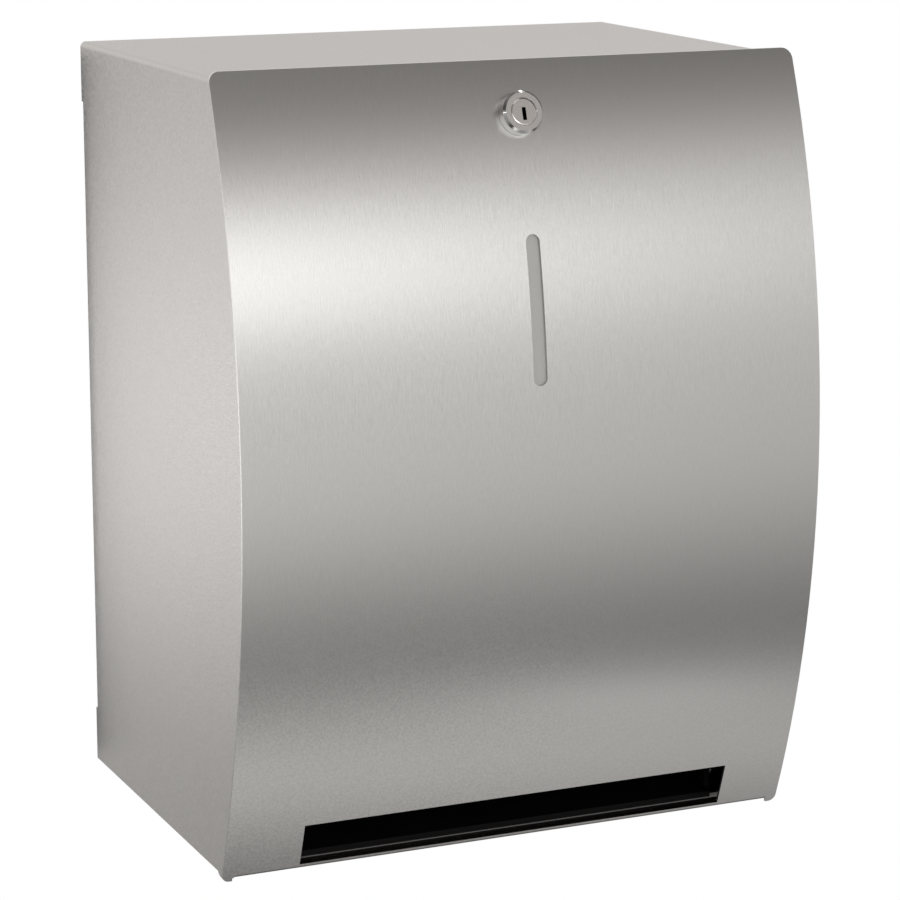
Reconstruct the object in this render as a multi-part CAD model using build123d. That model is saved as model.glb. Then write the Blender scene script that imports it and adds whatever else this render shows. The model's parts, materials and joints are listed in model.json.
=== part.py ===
from build123d import *

import math
import os

# Wall-mounted dispenser for a roll of paper towel, in millimetres.
# x runs across, y into the wall (the wall face is y = 0) and z up.
# Heights are drawn from the bottom edge of the casing's sides; on export the part is
# lowered so that its origin is the middle of the four wall screws.

# Room that several pieces share
overrun = 1.0
press_gap = 0.02
end_gap = 0.2

# Casing: top and sides folded from one sheet
case_width = 315.8
case_height = 403.7
case_wall = 1.2
case_bend = 3.0
land_low = 30.0
land_high = 32.2
relief_depth = 2.5
floor_hem = 2.0

# Back plate and its wall screws
screw_hole_radius = 3.25
screw_margin_x = 27.9
screw_margin_low = 60.0
screw_margin_high = 53.7
back_flange = 12.0

# Door: a sheet bent to a large radius, with a return along its bottom edge
door_side_lap = 2.1
door_wall = 1.5
door_radius = 559.2
bulge_depth = 249.7
bulge_drop = 2.35
door_overlap = 3.3
door_drop = 0.6
door_gap = 0.6
top_corner = 5.5
tab_width = 5.6
tab_drop = 1.8
tab_corner = 4.0
sill_depth = 11.0
sill_bend = 2.4
sill_clear = 0.6
trim_angle = 1.0

# Outlet and level window in the door
outlet_margin = 36.9
outlet_shift = 2.7
outlet_low = 1.8
outlet_high = 25.2
window_width = 7.6
window_length = 74.8
window_drop = 118.5
pane_wall = 2.0
pane_lap = 6.0
pane_fit = 0.1
retainer_lap = 5.0
retainer_wall = 1.2
retainer_ear = 13.0
window_stud_radius = 1.5
window_nut_flat = 2.75
window_nut_wall = 2.4

# Door hinge: studs on the inside of the casing's ears, lugs on the door
ear_radius = 6.5
hinge_rise = 4.4
hinge_stud_radius = 2.5
pin_fit = 0.08
lug_wall = 1.5
lug_gap = 0.8
lug_eye = 5.0
lug_rise = 6.0
lug_flange_width = 13.0
lug_flange_height = 44.0
finger_length = 15.0
finger_half = 2.5
stop_rise = 11.0
stop_gap = 0.4

# Cam lock
lock_drop = 23.2
lock_proud = 6.5
lock_head_radius = 11.0
lock_face_radius = 9.75
lock_rim = 1.3
lock_barrel_radius = 9.0
lock_barrel_length = 20.0
lock_hole_fit = 0.2
plug_radius = 6.9
plug_fit = 0.1
key_height = 6.5
key_width = 2.1
key_depth = 9.0
key_drop = 1.1
drive_half = 3.0
cam_wall = 2.0
cam_length = 24.0
cam_half = 5.5
cam_gap = 0.3
cam_screw_radius = 1.5
cam_screw_depth = 5.0
cam_screw_head = 4.5
cam_screw_head_wall = 2.5
cam_screw_slot = 1.2
washer_radius = 12.5
washer_wall = 1.0
washer_seat = 0.2
nut_flat_radius = 11.0
nut_wall = 5.0
strike_half = 18.0
strike_wall = 1.5
strike_gap = 1.3
strike_clear = 4.5
strike_foot = 22.0

# Paper roll on its spindle
roll_front_gap = 34.7
roll_back_gap = 15.0
roll_top_gap = 15.7
roll_edge = 19.5
core_radius = 20.0
core_wall = 2.0
spindle_radius = 5.0
spindle_fit = 0.1
spindle_head = 7.5
spindle_head_wall = 2.5
hub_flange_radius = 27.0
hub_wall = 3.0
hub_boss = 16.0
hub_taper = 3.0
hub_fit = 0.15
hub_gap = 0.4

# Roll brackets on the back plate
bracket_wall = 2.0
bracket_gap = 1.5
bracket_nose = 14.0
bracket_slot_angle = 50.0
bracket_half = 36.0
bracket_foot = 16.0
bracket_hole_radius = 13.0
bracket_stud_radius = 2.0
bracket_stud_span = 52.0
bracket_nut_flat = 3.5
bracket_nut_wall = 3.2

# Feed roller, pinch roller and the frames that carry them
feed_setback = 33.4
feed_height = 50.0
feed_radius = 16.0
feed_core_radius = 13.0
feed_shaft_radius = 4.0
sleeve_count = 5
sleeve_space = 11.5
roller_edge = 13.0
pinch_radius = 10.0
pinch_shaft_radius = 3.0
nip_gap = 0.4
shaft_fit = 0.05
frame_wall = 3.0
frame_clear = 2.5
frame_front = 22.0
frame_rear = 68.0
frame_crown = 12.0
frame_corner = 14.0
frame_foot = 14.0
frame_foot_margin = 9.0
frame_stud_radius = 2.5
frame_stud_inset = 10.0
frame_nut_flat = 4.0
frame_nut_wall = 4.0
bush_radius = 6.0
bush_flange_radius = 8.5
bush_flange_wall = 1.2
wheel_radius = 20.0
wheel_width = 12.0
wheel_gap = 1.5
wheel_scallops = 18
scallop_radius = 2.2
wheel_rim = 5.0
wheel_boss = 8.0
collar_radius = 8.0
collar_width = 6.0
groove_depth = 0.9
groove_fit = 0.15

# Pinch yoke, its pivot and torsion springs
pivot_rise = 36.0
pivot_setback = 2.0
pivot_radius = 3.0
yoke_wall = 2.0
yoke_edge = 7.0
yoke_eye = 6.0
yoke_web_low = 6.0
yoke_web_high = 22.0
tab_half = 15.0
tab_rise = 16.0
tab_step = 8.5
clip_radius = 5.2
clip_wall = 1.0
spring_radius = 4.2
wire_radius = 0.6
spring_turns = 5
spring_pitch = 1.9
spring_gap = 0.3
spring_inset = 14.0
spring_leg_low = 22.0
spring_leg_past = 6.0
bar_radius = 4.0
bar_setback = 12.0
bar_screw_radius = 1.5
bar_screw_head = 3.6
bar_screw_head_wall = 2.2
bar_screw_depth = 6.0

# Outlet chute, hood and tear blade
chute_rise = 8.2
chute_wall = 1.8
chute_top_angle = 310.0
chute_gap = 0.3
lip_lap = 1.1
hood_gap = 4.0
hood_wall = 2.5
hood_top_angle = 75.0
hood_low = 29.0
blade_wall = 1.0
blade_height = 16.0
blade_side_gap = 3.0
tooth_pitch = 4.0
tooth_depth = 3.5
blade_below = 5.0
blade_screw_count = 3
blade_screw_margin = 31.0
blade_screw_rise = 10.4
blade_screw_radius = 1.5
blade_screw_head = 3.2
blade_screw_head_wall = 1.8

# Places worked out from the sizes above
arc_y = door_radius - bulge_depth
bulge_height = case_height / 2 - bulge_drop
door_inner = door_radius - door_wall
case_front = door_inner - door_gap
case_inner = case_width / 2 - case_wall
screw_span_x = case_width - 2 * screw_margin_x
screw_span_z = case_height - screw_margin_low - screw_margin_high
mount_rise = screw_margin_low + screw_span_z / 2
door_width = case_width + 2 * door_side_lap
outlet_width = case_width - 2 * outlet_margin
window_height = case_height - window_drop
lock_height = case_height - lock_drop
roll_radius = (bulge_depth - roll_front_gap - roll_back_gap) / 2
roll_width = outlet_width - 2 * roll_edge
roll_y = -roll_back_gap - roll_radius
roll_height = case_height - roll_top_gap - roll_radius
door_top = case_height + door_overlap
tab_low = -door_drop - tab_drop
hinge_reach = case_front - ear_radius
hinge_y = arc_y - math.sqrt(hinge_reach**2 - (hinge_rise - bulge_height) ** 2)
hinge_angle = 360 + math.degrees(math.atan2(hinge_rise - bulge_height, hinge_y - arc_y))
lug_outer = case_inner - lug_gap
lug_inner = lug_outer - lug_wall
sill_half = lug_inner - lug_gap
sill_bend_z = sill_bend - door_drop
sill_bend_y = arc_y - math.sqrt((door_radius - sill_bend) ** 2 - (sill_bend_z - bulge_height) ** 2)
sill_angle = 360 + math.degrees(math.atan2(sill_bend_z - bulge_height, sill_bend_y - arc_y))
sill_rear = sill_bend_y - sill_bend + sill_depth
sill_sweep = math.hypot(sill_rear - hinge_y, hinge_rise + door_drop)
lip_front = hinge_y + sill_sweep + sill_clear
lip_height = case_wall + chute_gap + chute_wall
floor_front = lip_front + chute_wall + chute_gap
feed_y = hinge_y + feed_setback
chute_radius = feed_height - chute_wall - chute_rise
roller_half = outlet_width / 2 - roller_edge
sleeve_width = (2 * roller_half - (sleeve_count - 1) * sleeve_space) / sleeve_count
yoke_half = outlet_width / 2 - yoke_edge
blade_screw_span = (outlet_width - 2 * blade_screw_margin) / (blade_screw_count - 1)
frame_inner = outlet_width / 2 + frame_clear
frame_outer = frame_inner + frame_wall
pinch_y = feed_y + feed_radius + pinch_radius + nip_gap
pivot_y = pinch_y + pinch_radius + pivot_setback
pivot_z = feed_height + pivot_rise
bar_y = feed_y - bar_setback
bar_z = pivot_z + spring_radius - wire_radius - spring_gap - bar_radius
web_rear = pivot_y + spring_radius - wire_radius - spring_gap
web_front = web_rear - yoke_wall
bracket_inner = roll_width / 2 + hub_gap + hub_wall + bracket_gap
bracket_outer = bracket_inner + bracket_wall
lock_sine = (lock_height - bulge_height) / door_radius
lock_cosine = math.sqrt(1 - lock_sine**2)
lock_y = arc_y - door_radius * lock_cosine
lock_plane = Plane(
    origin=(0, lock_y, lock_height), x_dir=(1, 0, 0), z_dir=(0, -lock_cosine, lock_sine)
)
cam_depth = lock_barrel_length + cam_gap
hood_inner = feed_radius + hood_gap
hood_outer = hood_inner + hood_wall
apron_front = feed_y - hood_outer


def front_y(radius, height):
    """Depth of the door's curve of a given radius at a height."""
    return arc_y - math.sqrt(radius**2 - (height - bulge_height) ** 2)


def slab(face, x_low, x_high):
    """Solid from a face drawn in (y, z), between two places across the part."""
    return Pos(x_low, 0, 0) * extrude(Plane.YZ * face, x_high - x_low, dir=(1, 0, 0))


def rod(radius, x_low, x_high, y, z):
    """Round rod across the part."""
    return slab(Pos(y, z) * Circle(radius), x_low, x_high)


def ring(outer, inner, x_low, x_high, y, z):
    """Round tube across the part."""
    return slab(Pos(y, z) * (Circle(outer) - Circle(inner)), x_low, x_high)


def span(low, high, low_2, high_2):
    """Rectangle between two pairs of limits."""
    return Pos((low + high) / 2, (low_2 + high_2) / 2) * Rectangle(high - low, high_2 - low_2)


def brick(x_low, x_high, y_low, y_high, z_low, z_high):
    """Box between three pairs of limits."""
    return slab(span(y_low, y_high, z_low, z_high), x_low, x_high)


def arc_band(centre, inner, outer, start, end):
    """Face between two arcs about one centre, in degrees from the rear towards the top."""
    outside = CenterArc(centre, outer, start, end - start)
    inside = CenterArc(centre, inner, start, end - start)
    ends = [Line(outside @ 0, inside @ 0), Line(outside @ 1, inside @ 1)]
    return make_face([outside, inside] + ends)


def front_band(inner, outer, z_low, z_high):
    """Face between two radii of the door's curve, cut level at two heights."""
    curve = Pos(arc_y, bulge_height) * (Circle(outer) - Circle(inner))
    return curve & span(-bulge_depth - outer, arc_y - outer / 2, z_low, z_high)


def door_normal(height):
    """Unit vector out of the door at a height, as (y, z)."""
    sine = (height - bulge_height) / door_inner
    return -math.sqrt(1 - sine**2), sine


def hexagon(flat_radius, bore, low, high):
    """Nut between two heights on a plane's own axis."""
    face = RegularPolygon(flat_radius, 6, major_radius=False) - Circle(bore)
    return Pos(0, 0, low) * extrude(face, high - low)


def disc(radius, low, high):
    """Cylinder between two heights on a plane's own axis."""
    return Pos(0, 0, low) * extrude(Circle(radius), high - low)


def across(shape):
    """Shift a shape sideways to the middle of the outlet, where the feed unit and the roll are."""
    return Pos(outlet_shift, 0, 0) * shape


# Casing

def case_side_face():
    """Outline of the casing's side: curved front edge, hinge ear and relieved rear edge."""
    top_y = front_y(case_front, case_height)
    top_angle = math.degrees(math.atan2(case_height - bulge_height, top_y - arc_y))
    front = CenterArc((arc_y, bulge_height), case_front, top_angle, hinge_angle - top_angle)
    ear_end = 360 - math.degrees(math.asin(hinge_rise / ear_radius))
    ear = CenterArc((hinge_y, hinge_rise), ear_radius, hinge_angle, ear_end - hinge_angle)
    rear = Polyline(
        ear @ 1,
        (0, 0),
        (0, land_low),
        (-relief_depth, land_low),
        (-relief_depth, case_height - land_high),
        (0, case_height - land_high),
        (0, case_height),
        front @ 0,
    )
    return make_face([front, ear] + rear.edges())


def case_shell():
    """Top and two sides folded from one sheet."""
    fold_height = case_height + ear_radius
    outside = Pos(0, case_height - fold_height / 2) * Rectangle(case_width, fold_height)
    outside = fillet(outside.vertices().group_by(Axis.Y)[-1], case_bend)
    inside = Pos(0, case_height - case_wall - fold_height / 2) * Rectangle(2 * case_inner, fold_height)
    inside = fillet(inside.vertices().group_by(Axis.Y)[-1], case_bend - case_wall)
    fold = extrude(Plane.XZ * (outside - inside), bulge_depth, dir=(0, -1, 0))
    return fold & slab(case_side_face(), -case_width / 2, case_width / 2)


def back_plate():
    """Plate against the wall, with a flange along each side, screw holes and bracket studs."""
    outside = span(-case_inner, case_inner, -back_flange, 0)
    outside = fillet(outside.vertices().group_by(Axis.Y)[-1], case_bend - case_wall)
    inside = span(case_wall - case_inner, case_inner - case_wall, -back_flange, -case_wall)
    plate = extrude(outside - inside, case_height - case_bend)
    plate -= brick(-case_inner, case_inner, -back_flange, -case_wall, 0, land_low)
    for x in (-screw_span_x / 2, screw_span_x / 2):
        for z in (mount_rise - screw_span_z / 2, mount_rise + screw_span_z / 2):
            plate -= Pos(x, 0, z) * Rot(90, 0, 0) * Cylinder(screw_hole_radius, 4 * case_wall)
    stud_length = bracket_wall + bracket_nut_wall + overrun
    for x, z in bracket_studs():
        stud = extrude(Circle(bracket_stud_radius), stud_length)
        plate += Plane(origin=(x, -case_wall, z), x_dir=(1, 0, 0), z_dir=(0, -1, 0)) * stud
    return plate


def bottom_plate():
    """Floor of the casing, with its front edge turned down and studs for the feed frames."""
    plate = brick(-case_inner, case_inner, floor_front, -case_wall, 0, case_wall)
    plate += brick(-sill_half, sill_half, floor_front, floor_front + case_wall, -floor_hem, case_wall)
    stud_top = case_wall + frame_wall + frame_nut_wall + overrun
    for x, y in frame_studs():
        plate += Pos(x, y, 0) * disc(frame_stud_radius, case_wall, stud_top)
    return plate


def hinge_studs():
    """Studs on the inside of the casing's ears: the door turns on two and stops on two."""
    stop_y = hinge_y - finger_half - stop_gap - hinge_stud_radius
    places = [(hinge_y, hinge_rise), (stop_y, hinge_rise + stop_rise)]
    studs = []
    for y, z in places:
        studs.append(rod(hinge_stud_radius, -case_inner, -sill_half, y, z))
        studs.append(rod(hinge_stud_radius, sill_half, case_inner, y, z))
    return Compound(children=studs)


def lock_strike():
    """Angle under the casing's top, with a leg that lies square to the lock."""
    ceiling = case_height - case_wall
    leg_far = cam_depth - strike_gap
    leg_low = lock_barrel_radius + strike_clear
    profile = span(leg_low, case_height - lock_height + leg_far, -leg_far, strike_wall - leg_far)
    leg = lock_plane * slab(profile, -strike_half, strike_half)
    leg &= brick(-case_inner, case_inner, -bulge_depth, 0, 0, ceiling)
    foot_front = leg.faces().sort_by(Axis.Z)[-1].bounding_box().min.Y
    foot_rear = foot_front + strike_foot
    return leg + brick(-strike_half, strike_half, foot_front, foot_rear, ceiling - strike_wall, ceiling)


# Door

def door_outline():
    """Front view of the door: rounded top corners and a small tab at each lower corner."""
    face = span(-door_width / 2, door_width / 2, tab_low, door_top)
    face = fillet(face.vertices().group_by(Axis.Y)[-1], top_corner)
    face = fillet(face.vertices().group_by(Axis.Y)[0], min(tab_corner, tab_width))
    inner = door_width / 2 - tab_width
    return face - span(-inner, inner, tab_low, -door_drop)


def door_panel():
    """Curved sheet with its bottom return, outlet, window slot and lock hole."""
    centre = (arc_y, bulge_height)
    top = 180 - math.degrees(math.asin((door_top - bulge_height) / door_radius)) - trim_angle
    curve = arc_band(centre, door_inner, door_radius, top, sill_angle + trim_angle)
    sheet = slab(curve, -door_width / 2, door_width / 2)
    sheet &= extrude(Plane.XZ * door_outline(), 2 * bulge_depth, dir=(0, -1, 0))
    bend = arc_band((sill_bend_y, sill_bend_z), sill_bend - door_wall, sill_bend, sill_angle, 270)
    sill = span(sill_bend_y, sill_rear, -door_drop, door_wall - door_drop)
    below = arc_band(
        centre, door_inner - sill_bend, door_radius + sill_bend, sill_angle, sill_angle + 2 * trim_angle
    )
    panel = sheet - slab(below, -sill_half, sill_half) + slab(bend + sill, -sill_half, sill_half)
    outlet = span(
        outlet_shift - outlet_width / 2, outlet_shift + outlet_width / 2, outlet_low, outlet_high
    )
    panel -= front_cut(outlet, outlet_low, outlet_high)
    slot = Pos(0, window_height) * SlotOverall(window_length, window_width, rotation=90)
    panel -= front_cut(slot, window_height - window_length / 2, window_height + window_length / 2)
    panel -= lock_plane * disc(lock_barrel_radius + lock_hole_fit, -2 * door_wall, 2 * door_wall)
    for plane in window_studs():
        panel += plane * disc(window_stud_radius, 0, retainer_depth() + window_nut_wall + overrun)
    return panel


def front_cut(face, z_low, z_high):
    """Prism that cuts a front-view face, between two heights, through the door alone."""
    depth = -max(front_y(door_inner, z_low), front_y(door_inner, z_high)) - 2 * door_wall
    return Pos(0, -depth, 0) * extrude(Plane.XZ * face, bulge_depth, dir=(0, -1, 0))


def door_lug(side):
    """Hinge lug: eye, stop finger and a curved flange against the door."""
    eye = Pos(hinge_y, hinge_rise) * Circle(lug_eye)
    bridge = span(hinge_y - 4 * lug_eye, hinge_y, hinge_rise - lug_eye, hinge_rise + lug_rise)
    bridge &= Pos(arc_y, bulge_height) * Circle(door_inner)
    tip_y = hinge_y + finger_length - finger_half
    finger = span(hinge_y, tip_y, hinge_rise - finger_half, hinge_rise + finger_half)
    tip = Pos(tip_y, hinge_rise) * Circle(finger_half)
    bore = Pos(hinge_y, hinge_rise) * Circle(hinge_stud_radius + pin_fit)
    plate = slab(eye + bridge + finger + tip - bore, lug_inner, lug_outer)
    flange_low = hinge_rise + lug_gap
    flange = front_band(door_inner - lug_wall, door_inner, flange_low, flange_low + lug_flange_height)
    lug = plate + slab(flange, lug_outer - lug_flange_width, lug_outer)
    return lug if side > 0 else mirror(lug, about=Plane.YZ)


def retainer_depth():
    """How far the window retainer stands in from the door's inner face."""
    return pane_fit + pane_wall + retainer_wall


def window_stud_heights():
    """Heights of the two studs that hold the window retainer."""
    reach = window_length / 2 + pane_lap + retainer_ear / 2
    return window_height - reach, window_height + reach


def window_studs():
    """Planes on the door's inner face, facing in, one for each window stud."""
    planes = []
    for z in window_stud_heights():
        normal_y, normal_z = door_normal(z)
        origin = (0, front_y(door_inner, z), z)
        planes.append(Plane(origin=origin, x_dir=(1, 0, 0), z_dir=(0, -normal_y, -normal_z)))
    return planes


def window_pane():
    """Clear strip behind the slot, bent with the door."""
    outer = door_inner - pane_fit
    reach = window_length / 2 + pane_lap
    half = window_width / 2 + pane_lap
    band = front_band(outer - pane_wall, outer, window_height - reach, window_height + reach)
    return slab(band, -half, half)


def window_retainer():
    """Moulded frame that cups the pane and is held by two nuts."""
    outer = door_inner - pane_fit
    inner = door_inner - retainer_depth()
    reach = window_length / 2 + pane_lap
    half = window_width / 2 + pane_lap
    body_reach = reach + retainer_ear
    body_half = half + retainer_lap
    band_reach = body_reach + retainer_ear
    band = front_band(inner, outer, window_height - band_reach, window_height + band_reach)
    body = slab(band, -2 * body_half, 2 * body_half)
    rounded = Pos(0, window_height) * RectangleRounded(2 * body_half, 2 * body_reach, retainer_lap)
    body &= extrude(Plane.XZ * rounded, 2 * bulge_depth, dir=(0, -1, 0))
    pocket_reach = reach + pane_fit
    pocket = front_band(
        outer - pane_wall - pane_fit, outer, window_height - pocket_reach, window_height + pocket_reach
    )
    body -= slab(pocket, -half - pane_fit, half + pane_fit)
    sight = Pos(0, window_height) * SlotOverall(window_length, window_width, rotation=90)
    body -= extrude(Plane.XZ * sight, 2 * bulge_depth, dir=(0, -1, 0))
    for plane in window_studs():
        body -= plane * disc(window_stud_radius + pane_fit, -overrun, retainer_depth() + overrun)
    return body


def window_nuts():
    """Two small nuts behind the window retainer."""
    seat = retainer_depth() + pane_fit
    nut = hexagon(window_nut_flat, window_stud_radius + press_gap, seat, seat + window_nut_wall)
    return Compound(children=[plane * nut for plane in window_studs()])


# Cam lock, drawn on the plane of the door where the lock stands

def lock_housing():
    """Round head in front of the door and threaded barrel behind it."""
    head = disc(lock_head_radius, 0, lock_proud)
    rim = head.edges().group_by(Axis.Z)[-1]
    head = chamfer(rim, lock_rim, lock_head_radius - lock_face_radius)
    body = head + disc(lock_barrel_radius, -lock_barrel_length, 0)
    body -= disc(plug_radius + plug_fit, -lock_barrel_length, lock_proud)
    return lock_plane * body


def lock_washer():
    """Washer between the door and the lock's nut."""
    low = -door_wall - washer_seat - washer_wall
    hole = disc(lock_barrel_radius + lock_hole_fit, low - overrun, 0)
    return lock_plane * (disc(washer_radius, low, low + washer_wall) - hole)


def lock_nut():
    """Nut that clamps the lock to the door."""
    top = -door_wall - washer_seat - washer_wall
    return lock_plane * hexagon(nut_flat_radius, lock_barrel_radius + press_gap, top - nut_wall, top)


def lock_plug():
    """Turning plug with its keyway and a square tail for the cam."""
    plug = disc(plug_radius, -lock_barrel_length, lock_proud)
    keyway = extrude(Rectangle(key_width, key_height), 2 * key_depth)
    keyway = Pos(0, -key_drop, lock_proud - key_depth) * keyway
    seat = -cam_depth - cam_wall
    tail = Pos(0, 0, seat) * extrude(Rectangle(2 * drive_half, 2 * drive_half), cam_wall + cam_gap)
    tapped = disc(cam_screw_radius, seat - overrun, seat + cam_screw_depth + overrun)
    return lock_plane * (plug - keyway + tail - tapped)


def lock_cam():
    """Flat cam on the plug's tail; it lies across the door when unlocked."""
    ends = [Circle(cam_half), Pos(cam_length - cam_half, 0) * Circle(cam_half)]
    face = make_hull([edge for end in ends for edge in end.edges()])
    face -= Rectangle(2 * drive_half + 2 * press_gap, 2 * drive_half + 2 * press_gap)
    return lock_plane * Pos(0, 0, -cam_depth - cam_wall) * extrude(face, cam_wall)


def cam_screw():
    """Screw and head that hold the cam on."""
    seat = -cam_depth - cam_wall
    head_low = seat - cam_screw_head_wall
    head = disc(cam_screw_head, head_low, seat)
    slot = extrude(Rectangle(3 * cam_screw_head, cam_screw_slot), cam_screw_head_wall / 2)
    head -= Pos(0, 0, head_low) * slot
    return lock_plane * (head + disc(cam_screw_radius - press_gap, seat, seat + cam_screw_depth))


# Paper roll and what carries it

def paper_roll():
    """Wound paper, as a solid round its core."""
    half = roll_width / 2
    return across(ring(roll_radius, core_radius + core_wall, -half, half, roll_y, roll_height))


def roll_core():
    """Cardboard tube in the roll."""
    half = roll_width / 2
    return across(ring(core_radius + core_wall, core_radius, -half, half, roll_y, roll_height))


def roll_spindle():
    """Spindle with a head outside each bracket."""
    half = bracket_outer + bracket_gap
    spindle = rod(spindle_radius, -half, half, roll_y, roll_height)
    for low in (-half - spindle_head_wall, half):
        spindle += rod(spindle_head, low, low + spindle_head_wall, roll_y, roll_height)
    return across(spindle)


def spindle_hubs():
    """Two hubs that centre the core on the spindle."""
    face_x = roll_width / 2 + hub_gap
    flange = rod(hub_flange_radius, face_x, face_x + hub_wall, roll_y, roll_height)
    big = core_radius - hub_fit
    inward = Plane(origin=(face_x, roll_y, roll_height), z_dir=(-1, 0, 0))
    boss = inward * Pos(0, 0, hub_boss / 2) * Cone(big, big - hub_taper, hub_boss)
    hub = flange + boss - rod(spindle_radius + press_gap, 0, bracket_outer, roll_y, roll_height)
    return Compound(children=[across(hub), across(mirror(hub, about=Plane.YZ))])


def bracket_studs():
    """Places of the bracket studs on the back plate, as (x, z)."""
    x = bracket_outer + bracket_foot / 2
    heights = (roll_height - bracket_stud_span / 2, roll_height + bracket_stud_span / 2)
    return [(outlet_shift + side * x, z) for side in (-1, 1) for z in heights]


def roll_bracket(side):
    """Folded bracket with an open slot that the spindle drops into."""
    back = -case_wall
    root = span(back - bracket_wall, back, roll_height - bracket_half, roll_height + bracket_half)
    nose = Pos(roll_y, roll_height) * Circle(bracket_nose)
    arm = make_hull(root.edges() + nose.edges())
    seat = Circle(spindle_radius + spindle_fit)
    lean = math.radians(bracket_slot_angle)
    away = Pos(-2 * bracket_nose * math.cos(lean), 2 * bracket_nose * math.sin(lean)) * seat
    slot = make_hull(seat.edges() + away.edges())
    arm -= Pos(roll_y, roll_height) * slot
    arm -= Pos(back - bracket_half, roll_height) * Circle(bracket_hole_radius)
    bracket = slab(arm, bracket_inner, bracket_outer)
    foot = brick(
        bracket_outer, bracket_outer + bracket_foot, back - bracket_wall, back,
        roll_height - bracket_half, roll_height + bracket_half,
    )
    hole = Rot(90, 0, 0) * Cylinder(bracket_stud_radius + pin_fit, 4 * bracket_wall)
    for x, z in bracket_studs():
        foot -= Pos(x - outlet_shift, back, z) * hole
    bracket += foot
    return across(bracket if side > 0 else mirror(bracket, about=Plane.YZ))


def bracket_nuts():
    """Nuts on the bracket studs."""
    nuts = []
    for x, z in bracket_studs():
        plane = Plane(origin=(x, -case_wall - bracket_wall, z), x_dir=(1, 0, 0), z_dir=(0, -1, 0))
        nuts.append(plane * hexagon(bracket_nut_flat, bracket_stud_radius + press_gap, 0, bracket_nut_wall))
    return Compound(children=nuts)


# Feed unit

def frame_studs():
    """Places of the feed frames' studs on the floor, as (x, y)."""
    x = frame_outer + frame_foot / 2
    depths = (
        feed_y - frame_front + frame_foot_margin + frame_stud_inset,
        feed_y + frame_rear - frame_foot_margin - frame_stud_inset,
    )
    return [(outlet_shift + side * x, y) for side in (-1, 1) for y in depths]


def chute_face(grow=0.0):
    """Profile of the chute: an arc round the feed roller, then a straight run down to its lip."""
    reach = math.hypot(lip_front - feed_y, lip_height - feed_height)
    leave = 360 + math.degrees(
        math.atan2(lip_height - feed_height, lip_front - feed_y) + math.acos(chute_radius / reach)
    )
    inner = chute_radius - grow
    outer = chute_radius + chute_wall + grow
    curve = arc_band((feed_y, feed_height), inner, outer, leave, chute_top_angle)
    run = math.sqrt(reach**2 - chute_radius**2)
    straight = Pos(feed_y, feed_height) * Rot(0, 0, leave) * span(inner, outer, -run, 0)
    return curve + straight


def hood_face(grow=0.0):
    """Profile of the hood: an apron behind the door, then an arc over the feed roller."""
    inner = hood_inner - grow
    outer = hood_outer + grow
    curve = arc_band((feed_y, feed_height), inner, outer, hood_top_angle, 180)
    return curve + span(feed_y - outer, feed_y - inner, hood_low - grow, feed_height)


def feed_frame(side):
    """Moulded side frame with bearing seats, a lightening window and a foot."""
    front = feed_y - frame_front
    rear = feed_y + frame_rear
    crown = pivot_z + frame_crown
    outline = span(front, rear, case_wall, crown)
    outline = fillet(outline.vertices().group_by(Axis.Y)[-1], frame_corner)
    for y, z, radius in (
        (feed_y, feed_height, bush_radius + press_gap),
        (pivot_y, pivot_z, bar_screw_radius + shaft_fit),
        (bar_y, bar_z, bar_screw_radius + shaft_fit),
    ):
        outline -= Pos(y, z) * Circle(radius)
    window_low = pivot_y + yoke_eye
    window_high = rear - frame_foot_margin
    outline -= Pos((window_low + window_high) / 2, feed_height) * RectangleRounded(
        window_high - window_low, pivot_rise, (window_high - window_low) / 3
    )
    frame = slab(outline, frame_inner, frame_outer)
    frame -= slab(chute_face(groove_fit), 0, frame_inner + groove_depth + end_gap)
    frame -= slab(hood_face(groove_fit), 0, frame_inner + groove_depth + end_gap)
    foot = brick(
        frame_outer, frame_outer + frame_foot, front + frame_foot_margin, rear - frame_foot_margin,
        case_wall, case_wall + frame_wall,
    )
    hole = disc(frame_stud_radius + pin_fit, 0, 2 * (case_wall + frame_wall))
    for x, y in frame_studs():
        foot -= Pos(x - outlet_shift, y, 0) * hole
    frame += foot
    return across(frame if side > 0 else mirror(frame, about=Plane.YZ))


def frame_nuts():
    """Nuts on the feed frames' studs."""
    low = case_wall + frame_wall
    nut = hexagon(frame_nut_flat, frame_stud_radius + press_gap, low, low + frame_nut_wall)
    return Compound(children=[Pos(x, y, 0) * nut for x, y in frame_studs()])


def feed_bushes():
    """Flanged bushes that the feed shaft turns in."""
    bore = feed_shaft_radius + shaft_fit
    flange_low = frame_inner - bush_flange_wall
    bush = ring(bush_radius, bore, frame_inner, frame_outer, feed_y, feed_height)
    bush += ring(bush_flange_radius, bore, flange_low, frame_inner, feed_y, feed_height)
    return Compound(children=[across(bush), across(mirror(bush, about=Plane.YZ))])


def feed_shaft():
    """Steel shaft of the feed roller, long enough for the collar and the thumb wheel."""
    left = frame_outer + wheel_gap + collar_width + overrun
    right = frame_outer + wheel_gap + wheel_width + overrun
    return across(rod(feed_shaft_radius, -left, right, feed_y, feed_height))


def feed_core():
    """Roller body on the feed shaft."""
    bore = feed_shaft_radius + press_gap
    return across(ring(feed_core_radius, bore, -roller_half, roller_half, feed_y, feed_height))


def sleeve_places():
    """Middles of the rubber sleeves along the rollers."""
    step = (2 * roller_half - sleeve_width) / (sleeve_count - 1)
    return [sleeve_width / 2 - roller_half + step * i for i in range(sleeve_count)]


def feed_sleeves():
    """Rubber sleeves round the feed roller."""
    half = sleeve_width / 2
    bore = feed_core_radius + press_gap
    return Compound(
        children=[
            across(ring(feed_radius, bore, x - half, x + half, feed_y, feed_height))
            for x in sleeve_places()
        ]
    )


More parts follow.
